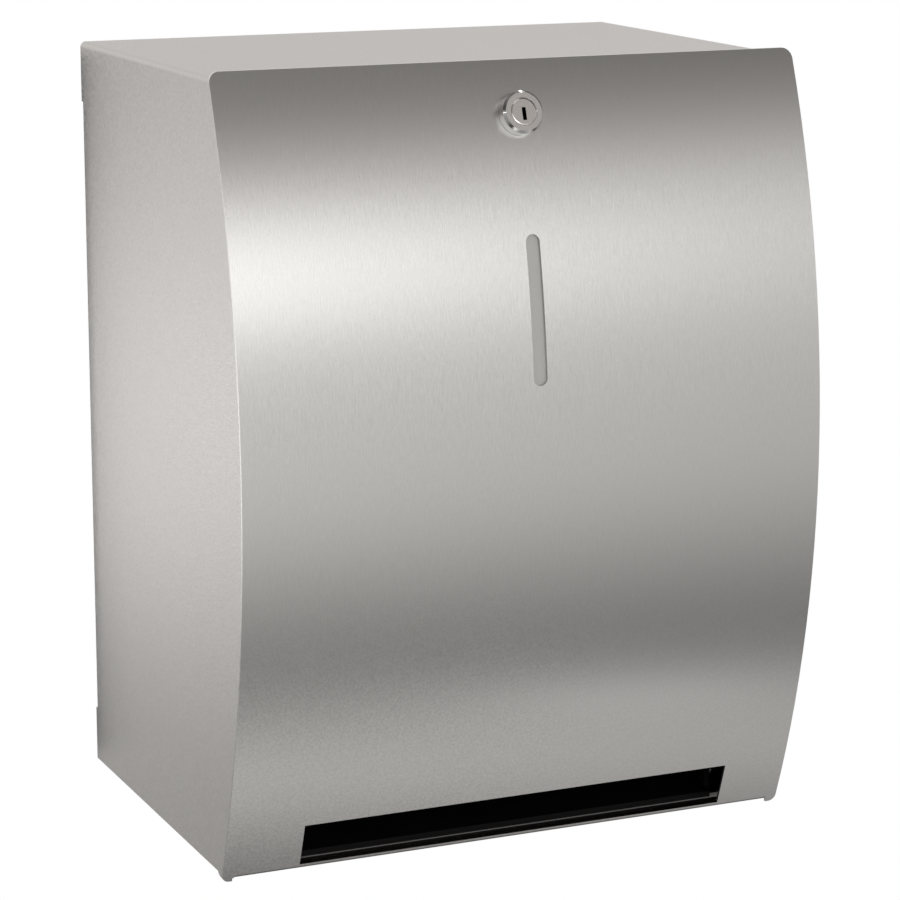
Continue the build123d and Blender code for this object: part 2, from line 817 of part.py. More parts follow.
def thumb_wheel():
    """Scalloped wheel that feeds paper through by hand."""
    low = frame_outer + wheel_gap
    face = Circle(wheel_radius) - Circle(feed_shaft_radius + press_gap)
    for i in range(wheel_scallops):
        face -= Rot(0, 0, 360 * i / wheel_scallops) * Pos(wheel_radius, 0) * Circle(scallop_radius)
    wheel = slab(Pos(feed_y, feed_height) * face, low, low + wheel_width)
    recess = ring(
        wheel_radius - wheel_rim, wheel_boss, low + wheel_width / 2, low + wheel_width, feed_y, feed_height
    )
    return across(wheel - recess)


def shaft_collar():
    """Collar on the other end of the feed shaft."""
    low = frame_outer + wheel_gap
    return across(
        ring(collar_radius, feed_shaft_radius + press_gap, -low - collar_width, -low, feed_y, feed_height)
    )


def pinch_shaft():
    """Shaft of the pinch roller, carried by the yoke."""
    half = yoke_half + end_gap + clip_wall + overrun
    return across(rod(pinch_shaft_radius, -half, half, pinch_y, feed_height))


def pinch_sleeves():
    """Rubber rollers that press the paper on the feed roller."""
    half = sleeve_width / 2
    bore = pinch_shaft_radius + press_gap
    return Compound(
        children=[
            across(ring(pinch_radius, bore, x - half, x + half, pinch_y, feed_height))
            for x in sleeve_places()
        ]
    )


def pinch_clips():
    """Push-on clips at the ends of the pinch shaft."""
    low = yoke_half + end_gap
    clip = ring(clip_radius, pinch_shaft_radius + press_gap, low, low + clip_wall, pinch_y, feed_height)
    return Compound(children=[across(clip), across(mirror(clip, about=Plane.YZ))])


def pinch_yoke():
    """Folded yoke that swings the pinch roller, with a tab to release it."""
    web_low = feed_height - yoke_web_low
    web_high = feed_height + yoke_web_high
    web = span(web_front, web_rear, web_low, web_high)
    eyes = [Pos(pivot_y, pivot_z) * Circle(yoke_eye), Pos(pinch_y, feed_height) * Circle(yoke_eye)]
    cheek = make_hull(web.edges() + eyes[0].edges() + eyes[1].edges())
    cheek -= Pos(pivot_y, pivot_z) * Circle(pivot_radius + shaft_fit)
    cheek -= Pos(pinch_y, feed_height) * Circle(pinch_shaft_radius + shaft_fit)
    yoke = slab(web, -yoke_half, yoke_half)
    yoke += slab(cheek, yoke_half - yoke_wall, yoke_half)
    yoke += slab(cheek, -yoke_half, yoke_wall - yoke_half)
    tab_rear = web_rear + tab_step
    step_low = web_high - yoke_wall
    yoke += brick(-tab_half, tab_half, web_front, tab_rear, step_low, web_high)
    yoke += brick(-tab_half, tab_half, tab_rear - yoke_wall, tab_rear, step_low, pivot_z + tab_rise)
    return across(yoke)


def drilled_bar(radius, y, z):
    """Bar between the feed frames, drilled at both ends for a screw."""
    half = frame_inner - press_gap
    bar = rod(radius, -half, half, y, z)
    depth = bar_screw_depth + overrun
    for low in (-half, half - depth):
        bar -= rod(bar_screw_radius + press_gap, low, low + depth, y, z)
    return across(bar)


def guide_bar():
    """Bar over the feed roller that the paper runs past; the springs' legs lie on it."""
    return drilled_bar(bar_radius, bar_y, bar_z)


def pinch_pivot():
    """Rod that the pinch yoke swings on."""
    return drilled_bar(pivot_radius, pivot_y, pivot_z)


def bar_screws():
    """Screws through the feed frames into the ends of the two bars."""
    screws = []
    for y, z in ((bar_y, bar_z), (pivot_y, pivot_z)):
        screw = rod(bar_screw_head, frame_outer, frame_outer + bar_screw_head_wall, y, z)
        screw += rod(bar_screw_radius, frame_inner - bar_screw_depth, frame_outer, y, z)
        screws.append(across(screw))
        screws.append(across(mirror(screw, about=Plane.YZ)))
    return Compound(children=screws)


def outlet_chute():
    """Chute that turns the paper forward to the outlet; its lip laps the floor's front edge."""
    half = frame_inner + groove_depth
    lip = span(lip_front, lip_front + chute_wall, case_wall - lip_lap, lip_height)
    return across(slab(chute_face() + lip, -half, half))


def outlet_hood():
    """Hood over the feed roller, with holes for the blade's screws."""
    half = frame_inner + groove_depth
    hood = slab(hood_face(), -half, half)
    for x in blade_screw_places():
        hood -= blade_screw_plane(x) * disc(blade_screw_radius + press_gap, -hood_wall - overrun, overrun)
    return across(hood)


def blade_screw_places():
    """Places of the blade's screws across the hood."""
    middle = (blade_screw_count - 1) / 2
    return [blade_screw_span * (i - middle) for i in range(blade_screw_count)]


def blade_screw_plane(x):
    """Plane on the hood's apron, facing the door, at one blade screw."""
    height = hood_low - blade_below + blade_screw_rise
    return Plane(origin=(x, apron_front, height), x_dir=(1, 0, 0), z_dir=(0, -1, 0))


def tear_blade():
    """Serrated strip along the hood's apron, teeth down."""
    half = frame_inner - blade_side_gap
    low = hood_low - blade_below
    root = low + tooth_depth
    count = int(2 * half // tooth_pitch)
    edge = count * tooth_pitch / 2
    points = [(-half, low + blade_height), (-half, root)]
    for i in range(count):
        start = -edge + i * tooth_pitch
        points += [(start, root), (start + tooth_pitch / 2, low)]
    points += [(edge, root), (half, root), (half, low + blade_height)]
    if edge >= half:
        points = [points[0]] + points[2:-2] + [points[-1]]
    strip = Pos(0, apron_front, 0) * extrude(
        Plane.XZ * make_face(Polyline(*points, close=True)), blade_wall, dir=(0, -1, 0)
    )
    for x in blade_screw_places():
        strip -= blade_screw_plane(x) * disc(blade_screw_radius + press_gap, -overrun, blade_wall + overrun)
    return across(strip)


def blade_screws():
    """Screws that hold the blade on the hood."""
    screws = []
    for x in blade_screw_places():
        screw = disc(blade_screw_head, blade_wall, blade_wall + blade_screw_head_wall)
        screw += disc(blade_screw_radius, -hood_wall, blade_wall)
        screws.append(across(blade_screw_plane(x) * screw))
    return Compound(children=screws)


# Torsion springs of the pinch yoke

def biarc(start, start_dir, end, end_dir):
    """Two arcs that join two points along their two directions."""
    chord = end - start
    both = start_dir + end_dir
    spread = 2 * (1 - start_dir.dot(end_dir))
    reach = (math.sqrt(chord.dot(both) ** 2 + spread * chord.dot(chord)) - chord.dot(both)) / spread
    middle = (start + end + (start_dir - end_dir) * reach) * 0.5
    middle_dir = (middle - (start + start_dir * reach)).normalized()
    return [TangentArc(start, middle, tangent=start_dir), TangentArc(middle, end, tangent=middle_dir)]


def spring_point(quarter):
    """Point on the coil after so many quarter turns, from its top towards the rear."""
    angle = math.radians(90 - 90 * quarter)
    x = spring_pitch * quarter / 4
    return Vector(x, pivot_y + spring_radius * math.cos(angle), pivot_z + spring_radius * math.sin(angle))


def spring_direction(quarter):
    """Direction of the wire after so many quarter turns."""
    angle = math.radians(90 - 90 * quarter)
    turn = math.pi / 2 * spring_radius
    return Vector(spring_pitch / 4, turn * math.sin(angle), -turn * math.cos(angle)).normalized()


def spring_path():
    """Wire of one spring: a leg over the guide bar, the coil, and a leg behind the yoke."""
    quarters = 4 * spring_turns + 1
    directions = [spring_direction(i) for i in range(quarters + 1)]
    directions[0] = Vector(0, 1, 0)
    directions[-1] = Vector(0, 0, -1)
    first = spring_point(0)
    last = spring_point(quarters)
    edges = [Line(Vector(0, bar_y - spring_leg_past, first.Z), first)]
    for i in range(quarters):
        edges += biarc(spring_point(i), directions[i], spring_point(i + 1), directions[i + 1])
    edges.append(Line(last, last - Vector(0, 0, spring_leg_low)))
    return Wire(edges)


def spring_self_gap():
    """Least room between neighbouring turns of a spring, measured on points along the coil."""
    steps = 6
    points = [spring_point(i / steps) for i in range(steps * (4 * spring_turns + 1) + 1)]
    least = min(
        (points[i] - points[j]).length
        for i in range(len(points))
        for j in range(i + 2 * steps, len(points))
    )
    return least - 2 * wire_radius


def pinch_springs():
    """Two torsion springs on the pivot that press the yoke forward."""
    path = spring_path()
    section = Plane(origin=path @ 0, z_dir=path % 0) * Circle(wire_radius)
    spring = Pos(yoke_half - spring_inset, 0, 0) * sweep(section, path=path)
    print("spring self gap", round(spring_self_gap(), 3))
    return Compound(children=[across(spring), across(mirror(spring, about=Plane.YZ))])


pieces = {
    "case_shell": case_shell(),
    "back_plate": back_plate(),
    "bottom_plate": bottom_plate(),
    "hinge_studs": hinge_studs(),
    "lock_strike": lock_strike(),
    "roll_bracket_left": roll_bracket(-1),
    "roll_bracket_right": roll_bracket(1),
    "bracket_nuts": bracket_nuts(),
    "feed_frame_left": feed_frame(-1),
    "feed_frame_right": feed_frame(1),
    "frame_nuts": frame_nuts(),
    "feed_bushes": feed_bushes(),
    "guide_bar": guide_bar(),
    "pinch_pivot": pinch_pivot(),
    "bar_screws": bar_screws(),
    "outlet_chute": outlet_chute(),
    "outlet_hood": outlet_hood(),
    "tear_blade": tear_blade(),
    "blade_screws": blade_screws(),
    "pinch_springs": pinch_springs(),
    "door_panel": door_panel(),
    "door_lug_left": door_lug(-1),
    "door_lug_right": door_lug(1),
    "window_pane": window_pane(),
    "window_retainer": window_retainer(),
    "window_nuts": window_nuts(),
    "lock_housing": lock_housing(),
    "lock_washer": lock_washer(),
    "lock_nut": lock_nut(),
    "lock_plug": lock_plug(),
    "lock_cam": lock_cam(),
    "cam_screw": cam_screw(),
    "paper_roll": paper_roll(),
    "roll_core": roll_core(),
    "roll_spindle": roll_spindle(),
    "spindle_hubs": spindle_hubs(),
    "feed_shaft": feed_shaft(),
    "feed_core": feed_core(),
    "feed_sleeves": feed_sleeves(),
    "thumb_wheel": thumb_wheel(),
    "shaft_collar": shaft_collar(),
    "pinch_yoke": pinch_yoke(),
    "pinch_shaft": pinch_shaft(),
    "pinch_sleeves": pinch_sleeves(),
    "pinch_clips": pinch_clips(),
}

os.makedirs("parts", exist_ok=True)
for name, shape in pieces.items():
    export_step(Pos(0, 0, -mount_rise) * shape, f"parts/{name}.step")
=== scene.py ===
import json
import math

import bpy
from bpy.props import FloatProperty, FloatVectorProperty, IntProperty, PointerProperty
from mathutils import Matrix, Vector


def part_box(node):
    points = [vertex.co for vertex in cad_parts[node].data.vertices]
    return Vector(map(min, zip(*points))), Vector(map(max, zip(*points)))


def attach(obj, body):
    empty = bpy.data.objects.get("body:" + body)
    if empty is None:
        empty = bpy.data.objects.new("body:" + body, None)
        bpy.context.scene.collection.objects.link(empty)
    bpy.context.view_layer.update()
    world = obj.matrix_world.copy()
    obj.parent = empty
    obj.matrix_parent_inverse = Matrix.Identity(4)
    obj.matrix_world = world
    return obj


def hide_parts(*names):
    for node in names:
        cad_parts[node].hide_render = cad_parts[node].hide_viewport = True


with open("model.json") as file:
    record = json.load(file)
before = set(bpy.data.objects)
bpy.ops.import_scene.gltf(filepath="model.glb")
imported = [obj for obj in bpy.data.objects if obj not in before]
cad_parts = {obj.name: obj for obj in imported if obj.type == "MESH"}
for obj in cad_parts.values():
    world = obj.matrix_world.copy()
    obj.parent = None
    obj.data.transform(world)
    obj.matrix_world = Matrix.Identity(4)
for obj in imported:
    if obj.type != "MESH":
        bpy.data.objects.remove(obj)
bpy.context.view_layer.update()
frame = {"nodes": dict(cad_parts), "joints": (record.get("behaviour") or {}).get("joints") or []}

bl_info = {
    "name": "Paper towel dispenser",
    "version": (1, 0, 0),
    "blender": (4, 5, 0),
    "location": "3D View > Sidebar > Dispenser",
    "description": "Finishes, soft pieces, turned pieces and studio for a wall-mounted towel dispenser",
    "category": "Object",
}

nodes = frame["nodes"]
joint_at = {joint["name"]: Vector(joint["pos_m"]) for joint in frame["joints"]}
joint_axis = {joint["name"]: Vector(joint["axis"]) for joint in frame["joints"]}


# Settings

def colour(label, value):
    """Colour property with a plain label."""
    return FloatVectorProperty(
        name=label, description=f"Colour of the {label.lower()}", subtype="COLOR", size=3,
        default=value, min=0, max=1,
    )


def length(label, description, value):
    """Length property in metres."""
    return FloatProperty(
        name=label, description=description, unit="LENGTH", precision=5, default=value, min=0
    )


def location(label, description, value):
    """Place property in metres."""
    return FloatVectorProperty(
        name=label, description=description, subtype="TRANSLATION", unit="LENGTH", default=value
    )


def watts(label, description, value):
    """Power property of a lamp."""
    return FloatProperty(name=label, description=description, unit="POWER", default=value, min=0)


class SteelSettings(bpy.types.PropertyGroup):
    """Sheet steel of the door and casing."""

    door_colour: colour("Door", (0.66, 0.652, 0.64))
    casing_colour: colour("Casing", (0.642, 0.625, 0.614))
    inner_colour: colour("Inner sheet metal", (0.54, 0.54, 0.54))
    grain_width: length("Grain width", "Width of one streak of the door's brushing", 0.0004)
    grain_length: length("Grain length", "Length of one streak of the door's brushing", 0.005)
    tick_length: length("Tick length", "Length of the short marks between the streaks", 0.0014)
    blast_grain: length("Blasted grain", "Size of one dimple of the casing's satin finish", 0.0013)
    sparkle: length("Sparkle", "Size of one grain where the door's brushing fades out", 0.0012)
    door_radius: length("Door radius", "Radius that the door's sheet is bent to", 0.5592)
    bulge_drop: length("Bulge drop", "Drop of the door's foremost line below the wall screws' middle", 0.0055)


class LockSettings(bpy.types.PropertyGroup):
    """Cam lock in the door."""

    rim_colour: colour("Lock rim", (0.78, 0.775, 0.77))
    face_colour: colour("Lock face", (0.72, 0.695, 0.67))
    rim_chamfer: length("Rim chamfer", "Width of the polished chamfer round the face", 0.00125)
    rim_depth: length("Rim depth", "Depth of the polished chamfer round the face", 0.0013)
    bore_chamfer: length("Bore chamfer", "Width of the chamfer round the plug's bore", 0.0001)
    plug_edge: length("Plug edge", "Width of the polished slope round the plug", 0.0006)
    plug_fall: length("Plug fall", "Fall of the polished slope round the plug", 0.00016)
    key_shadow: length("Key shadow", "Depth in the keyway below which it is dark", 0.0006)
    thread_pitch: length("Thread pitch", "Pitch of the barrel's thread", 0.0010)
    thread_depth: length("Thread depth", "Depth of the barrel's thread", 0.00045)


class RollSettings(bpy.types.PropertyGroup):
    """Roll of paper towel."""

    paper_colour: colour("Paper", (0.87, 0.865, 0.845))
    core_colour: colour("Cardboard core", (0.47, 0.34, 0.22))
    layers: IntProperty(
        name="Layers", description="Rings of wound paper shown on the roll's ends", default=34, min=4
    )
    layer_step: length("Layer step", "How far neighbouring rings stand apart on the ends", 0.00035)
    emboss: length("Emboss", "Spacing of the pattern pressed in the paper", 0.0052)
    tail_lift: length("Tail lift", "How far the free end of the paper stands off the roll", 0.006)


class FeedSettings(bpy.types.PropertyGroup):
    """Feed unit behind the outlet."""

    plastic_colour: colour("Black plastic", (0.006, 0.006, 0.0065))
    rubber_colour: colour("Rubber", (0.035, 0.035, 0.037))
    rib_pitch: length("Rib pitch", "Spacing of the ribs on the rubber rollers", 0.0017)
    rib_depth: length("Rib depth", "Depth of the grooves between the ribs", 0.0004)


class StageSettings(bpy.types.PropertyGroup):
    """Camera, floor and studio light."""

    camera_place: location("Camera place", "Where the camera stands", (-0.66751, -1.64197, 0.35604))
    camera_target: location("Camera target", "Point that the camera looks at", (0.003355, -0.128, -0.014768))
    camera_roll: FloatProperty(
        name="Camera roll", description="Tilt of the picture", unit="ROTATION", default=0.00126
    )
    lens: FloatProperty(
        name="Lens", description="Focal length on a 36 mm sensor", unit="CAMERA", default=126.41
    )
    floor_drop: length("Floor drop", "Height of the wall screws above the floor", 1.15)
    floor_size: length("Floor size", "Side of the floor", 1.2)
    key_power: watts("Key power", "Power of the front softbox", 2.5)
    side_power: watts("Side power", "Power of the lamp on the left side", 0.52)
    spot_power: watts("Spot power", "Power of the strongest small lamp round the lock", 0.3)
    top_power: watts("Top power", "Power of the overhead softbox", 3.0)


# Modelling helpers

def only(piece):
    """Select one piece alone and make it active."""
    bpy.ops.object.select_all(action="DESELECT")
    piece.select_set(True)
    bpy.context.view_layer.objects.active = piece


def turned(name, rings, sides, place, angle=35):
    """Round piece turned from a closed run of (radius, height) rings on its own axis, put in its place."""
    bpy.ops.object.select_all(action="DESELECT")
    radius, height = rings[0]
    bpy.ops.mesh.primitive_circle_add(vertices=sides, radius=radius, fill_type="NOTHING")
    piece = bpy.context.active_object
    piece.name = name
    bpy.ops.object.mode_set(mode="EDIT")
    bpy.ops.mesh.select_mode(type="EDGE")
    bpy.ops.mesh.select_all(action="SELECT")
    bpy.ops.transform.translate(value=(0, 0, height))
    for next_radius, next_height in rings[1:]:
        bpy.ops.mesh.extrude_region_move(TRANSFORM_OT_translate={"value": (0, 0, next_height - height)})
        factor = next_radius / radius
        if factor != 1:
            bpy.ops.transform.resize(value=(factor, factor, 1), center_override=(0, 0, next_height))
        radius, height = next_radius, next_height
    bpy.ops.mesh.select_all(action="SELECT")
    bpy.ops.mesh.remove_doubles(threshold=1e-7)
    bpy.ops.mesh.select_all(action="SELECT")
    bpy.ops.mesh.normals_make_consistent(inside=False)
    bpy.ops.object.mode_set(mode="OBJECT")
    piece.matrix_world = place
    settle(piece, angle)
    return piece


def settle(piece, angle):
    """Put a piece's place in its mesh and shade its curved faces smooth."""
    only(piece)
    bpy.ops.object.transform_apply(location=True, rotation=True, scale=True)
    bpy.ops.object.shade_smooth_by_angle(angle=math.radians(angle))


def across_at(centre):
    """Matrix that lays a turned piece's axis across the dispenser at a point."""
    return Matrix.Translation(centre) @ Matrix.Rotation(math.radians(90), 4, "Y")


def lock_matrix():
    """Matrix that stands a turned piece on the door at the lock, axis outwards."""
    turn = joint_axis["lock_turn"].to_track_quat("Z", "X").to_matrix().to_4x4()
    return Matrix.Translation(joint_at["lock_turn"]) @ turn


def across_radius(name):
    """Radius of a round CAD node that lies across the dispenser."""
    low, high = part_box(name)
    return (high.z - low.z) / 2


def repeat(piece, offsets):
    """Copy a piece, each copy with its own mesh, and join the copies to it."""
    made = [piece]
    for offset in offsets:
        only(piece)
        bpy.ops.object.duplicate(linked=False)
        bpy.ops.transform.translate(value=offset)
        bpy.ops.object.transform_apply(location=True, rotation=True, scale=True)
        made.append(bpy.context.active_object)
    bpy.ops.object.select_all(action="DESELECT")
    for each in made:
        each.select_set(True)
    bpy.context.view_layer.objects.active = piece
    bpy.ops.object.join()


def soften(name, width):
    """Chamfer the sharp edges of a CAD node with live modifiers."""
    weld = nodes[name].modifiers.new("weld", "WELD")
    weld.merge_threshold = 1e-6
    bevel = nodes[name].modifiers.new("edge_chamfer", "BEVEL")
    bevel.width = width
    bevel.segments = 1
    bevel.limit_method = "ANGLE"
    bevel.angle_limit = math.radians(40)
    bevel.harden_normals = True


def dress(piece, *materials):
    """Give a piece its materials, the first one all over."""
    piece.data.materials.clear()
    for material in materials:
        piece.data.materials.append(material)


def dress_nodes(names, material):
    """Give CAD nodes one material all over."""
    for name in names:
        for slot in nodes[name].material_slots:
            slot.material = material


# Material helpers, for a material or the world

def fill(owner, entry, value):
    """Give an input of a node a value to hold or a socket to follow."""
    if isinstance(value, bpy.types.NodeSocket):
        owner.node_tree.links.new(value, entry)
    else:
        entry.default_value = value


def add(owner, kind, **values):
    """New node with its settings and inputs."""
    node = owner.node_tree.nodes.new(kind)
    for key, value in values.items():
        if hasattr(node, key):
            setattr(node, key, value)
        else:
            fill(owner, node.inputs[key.replace("_", " ")], value)
    return node


def socket(material, name):
    """Input of a material's shader."""
    return material.node_tree.nodes["Principled BSDF"].inputs[name]


def fill_shader(material, **values):
    """Give inputs of a material's shader values to hold or sockets to follow."""
    for key, value in values.items():
        fill(material, socket(material, key.replace("_", " ")), value)


def new_finish(name, base, metallic, roughness):
    """Material whose even values sit on the shader's own sockets."""
    material = bpy.data.materials.new(name)
    material.use_nodes = True
    fill_shader(material, Base_Color=(*base, 1), Metallic=metallic, Roughness=roughness)
    return material


def object_coords(material, scale=(1, 1, 1), turn=(0, 0, 0), shift=(0, 0, 0)):
    """Object coordinates, scaled, turned and shifted."""
    coords = add(material, "ShaderNodeTexCoord").outputs["Object"]
    mapping = add(material, "ShaderNodeMapping", Vector=coords, Scale=scale, Rotation=turn, Location=shift)
    return mapping.outputs["Vector"]


def split(owner, vector):
    """Sockets of a vector's parts, by the names X, Y and Z."""
    return add(owner, "ShaderNodeSeparateXYZ", Vector=vector).outputs


def noise(material, vector, detail=3.0, rough=0.55):
    """Noise value at a vector whose scale sets its size."""
    node = add(
        material, "ShaderNodeTexNoise", Vector=vector, Scale=1.0, Detail=detail, Roughness=rough
    )
    return node.outputs["Fac"]


def speckle(material, per_metre, detail=3.0):
    """Noise value with a number of even grains to the metre."""
    return noise(material, object_coords(material, (per_metre,) * 3), detail)


def spread(owner, value, low, high, source=(0.3, 0.7), **settings):
    """Value moved from a source range to the one from low to high."""
    node = add(
        owner, "ShaderNodeMapRange", **settings, Value=value,
        From_Min=source[0], From_Max=source[1], To_Min=low, To_Max=high,
    )
    return node.outputs["Result"]


def math_node(owner, operation, *values):
    """Value worked out from others, each a socket or a number."""
    node = add(owner, "ShaderNodeMath", operation=operation)
    for entry, value in zip(node.inputs, values):
        fill(owner, entry, value)
    return node.outputs["Value"]


def vector_math(owner, operation, *values):
    """Vector or value worked out from vectors, each a socket or a plain one."""
    node = add(owner, "ShaderNodeVectorMath", operation=operation)
    for entry, value in zip(node.inputs, values):
        fill(owner, entry, value)
    return node.outputs["Value" if operation in ("DOT_PRODUCT", "LENGTH") else "Vector"]


def mix(owner, kind, factor, first, second):
    """Blend of one kind of data, from the first to the second as a factor grows from 0 to 1."""
    return add(owner, "ShaderNodeMix", data_type=kind, Factor=factor, A=first, B=second).outputs["Result"]


def gain(material, value, factor):
    """Value spread about a half by a factor, a socket or a number."""
    offset = math_node(material, "MULTIPLY", math_node(material, "SUBTRACT", value, 0.5), factor)
    return math_node(material, "ADD", offset, 0.5)


def scaled(base, factor):
    """Colour times a factor, kept below white."""
    return tuple(min(channel * factor, 1.0) for channel in base)


def shade(material, value, dark, light, source=(0.3, 0.7)):
    """Base colour that goes from dark to light with a value."""
    node = add(material, "ShaderNodeValToRGB", Fac=value)
    for element, position, base in zip(node.color_ramp.elements, source, (dark, light)):
        element.position = position
        element.color = (*base, 1)
    fill_shader(material, Base_Color=node.outputs["Color"])


def paint_shade_over(material, share, base):
    """Lay a colour of painted shade over the ramped base colour by a share."""
    under = socket(material, "Base Color").links[0].from_socket
    fill_shader(material, Base_Color=mix(material, "RGBA", share, under, (*base, 1)))


def vary_roughness(material, value, roughness, change=0.15):
    """Roughness that goes a little up and down with a value."""
    varied = spread(material, value, roughness * (1 - change), roughness * (1 + change))
    fill_shader(material, Roughness=varied)


def bump(material, height, strength, distance, under=None):
    """Bump from a height, on top of another normal if one is given."""
    node = add(material, "ShaderNodeBump", Strength=strength, Distance=distance, Height=height)
    if under is not None:
        fill(material, node.inputs["Normal"], under)
    fill_shader(material, Normal=node.outputs["Normal"])
    return node.outputs["Normal"]


def curve_normal(material, centre):
    """Normal of a sheet bent round an axis across the dispenser, kept to the faces on that curve."""
    radial = vector_math(material, "MULTIPLY", object_coords(material, shift=tuple(-centre)), (0, 1, 1))
    in_world = add(
        material, "ShaderNodeVectorTransform", vector_type="NORMAL", convert_from="OBJECT",
        convert_to="WORLD", Vector=radial,
    )
    outward = vector_math(material, "NORMALIZE", in_world.outputs["Vector"])
    faces = add(material, "ShaderNodeNewGeometry").outputs["Normal"]
    match = vector_math(material, "DOT_PRODUCT", faces, outward)
    on_curve = spread(material, match, 0.0, 1.0, source=(0.99, 0.996))
    return mix(material, "VECTOR", on_curve, faces, outward)


# Finishes

def grained_metal(name, base, roughness, streak, contrast=0.05, strength=0.06, upward=None):
    """Metal with streaks whose sizes along x, y and z are given in metres, and may grow stronger upwards."""
    material = new_finish(name, base, 1.0, roughness)
    grain = noise(material, object_coords(material, tuple(1 / size for size in streak)), detail=4.0)
    if upward:
        height = split(material, object_coords(material))["Z"]
        grain = gain(material, grain, spread(material, height, *upward))
    shade(material, grain, scaled(base, 1 - contrast), scaled(base, 1 + contrast))
    vary_roughness(material, grain, roughness)
    bump(material, grain, strength, distance=min(streak))
    return material


def moulded(name, base, roughness, gloss=0.5, grain=0.0006, strength=0.12):
    """Moulded plastic with a fine spark-eroded grain and slight wear of its gloss."""
    material = new_finish(name, base, 0.0, roughness)
    fill_shader(material, Specular_IOR_Level=gloss)
    fine = speckle(material, 1 / grain, detail=2.0)
    broad = speckle(material, 60)
    shade(material, broad, scaled(base, 0.85), scaled(base, 1.2))
    vary_roughness(material, broad, roughness)
    bump(material, fine, strength, distance=grain)
    return material


def door_grain(material, settings):
    """Grain of the door: upright streaks, strongest high on its left, that turn to fine sparkle low down."""
    place = split(material, object_coords(material))
    marks = []
    for share, size in ((0.6, settings.grain_length), (0.4, settings.tick_length)):
        vector = object_coords(material, (1 / settings.grain_width, 1 / size, 1 / size))
        marks.append(math_node(material, "MULTIPLY", noise(material, vector, detail=2.0), share))
    streaks = gain(material, math_node(material, "ADD", *marks), 1.35)
    sparkle = speckle(material, 1 / settings.sparkle, detail=2.0)
    crisp = spread(material, sparkle, 0.2, 0.8, source=(0.38, 0.62))
    leftward = spread(material, place["X"], 1.75, 1.16, source=(-0.02, 0.06))
    fade = spread(material, place["Z"], 0.25, 1.0, source=(-0.13, -0.04))
    blend = mix(material, "FLOAT", fade, gain(material, crisp, leftward), streaks)
    upward = spread(material, place["Z"], 0.78, 1.9, source=(-0.02, 0.14))
    across = spread(material, place["X"], 1.0, 0.7, source=(0.0, 0.08))
    top = spread(material, place["Z"], 1.0, 0.3, source=(0.135, 0.17))
    factor = math_node(material, "MULTIPLY", math_node(material, "MULTIPLY", upward, across), top)
    return gain(material, blend, factor)


def door_finish(settings):
    """Brushed stainless steel that mirrors the room with the true curve of its sheet."""
    base = settings.door_colour
    material = new_finish("door_brushed_steel", base, 1.0, 0.30)
    grain = door_grain(material, settings)
    wide = (0.1, 0.9)
    shade(material, grain, scaled(base, 0.88), scaled(base, 1.12), wide)
    sideways = add(material, "ShaderNodeCombineXYZ", X=1).outputs["Vector"]
    fill_shader(
        material, Roughness=spread(material, grain, 0.27, 0.33, wide), Anisotropic=0.55, Tangent=sideways
    )
    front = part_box("door_panel")[0].y
    normal = curve_normal(material, Vector((0, front + settings.door_radius, -settings.bulge_drop)))
    bump(material, grain, strength=0.02, distance=settings.grain_width, under=normal)
    return material


def satin_steel(name, settings, upward=None):
    """Satin stainless steel with a blasted grain."""
    return grained_metal(
        name, settings.casing_colour, roughness=0.46, streak=(settings.blast_grain,) * 3,
        contrast=0.10, strength=0.10, upward=upward,
    )


def casing_finish(settings):
    """Satin steel whose grain is stronger above the middle of the casing."""
    return satin_steel("casing_satin_steel", settings, upward=(0.6, 1.25, (-0.14, 0.02)))


def floor_sheet_with_painted_shade(settings, top, front):
    """Satin steel of the casing, with painted shade above a top level and before a front line."""
    material = satin_steel("floor_sheet_painted_shade", settings)
    blur = 0.0002
    place = split(material, object_coords(material))
    inside = spread(material, place["Z"], 0.0, 1.0, source=(top - blur / 2, top + blur / 2))
    painted_hem_shade = spread(material, place["Y"], 1.0, 0.0, source=(front, front + blur))
    # Painted shade: the casing colour at a third, on the inside face and on the hem in front of the line.
    paint_shade_over(material, math_node(material, "MAXIMUM", inside, painted_hem_shade), scaled(settings.casing_colour, 0.32))
    return material


def lock_satin(name, settings):
    """Satin metal of the lock's face and plug."""
    return grained_metal(
        name, settings.face_colour, roughness=0.34, streak=(0.0004,) * 3, contrast=0.05, strength=0.08
    )


def plug_finish(settings, axis, level):
    """Satin plug with a polished edge and painted shade inside its keyway below a level on the lock's axis.
    """
    material = lock_satin("plug_satin", settings)
    centre = joint_at["lock_turn"]
    depth = vector_math(material, "DOT_PRODUCT", object_coords(material), axis)
    start = centre.dot(axis) + level
    blur = 0.0002
    # Painted shade: near black inside the keyway below the level.
    dark = spread(material, depth, 1.0, 0.0, source=(start - blur, start + blur))
    paint_shade_over(material, dark, (0.004, 0.004, 0.004))
    offset = object_coords(material, shift=tuple(-centre))
    radius = vector_math(material, "LENGTH", vector_math(material, "CROSS_PRODUCT", offset, axis))
    plug_radius = 0.0069
    slope_start = plug_radius - settings.plug_edge
    slope = spread(material, radius, settings.plug_fall, 0.0, source=(slope_start, plug_radius))
    bump(material, slope, strength=1.0, distance=1.0)
    polish_blur = 0.00005
    polish = spread(material, radius, 0.34, 0.12, source=(slope_start - polish_blur, slope_start))
    fill_shader(material, Roughness=polish)
    return material


def pane_finish():
    """Frosted strip with a fine slanting rib."""
    material = new_finish("pane_frosted", (0.79, 0.79, 0.76), 0.0, 0.38)
    fill_shader(material, Specular_IOR_Level=0.9, Transmission_Weight=0.15, IOR=1.49)
    slant = object_coords(material, turn=(0, math.radians(38), 0))
    wave = add(
        material, "ShaderNodeTexWave", wave_type="BANDS", bands_direction="X",
        Vector=slant, Scale=300.0, Distortion=1.0, Detail_Scale=2.0,
    )
    shade(material, wave.outputs["Fac"], (0.74, 0.74, 0.712), (0.83, 0.83, 0.80), source=(0.2, 0.8))
    bump(material, wave.outputs["Fac"], strength=0.08, distance=0.0003)
    return material


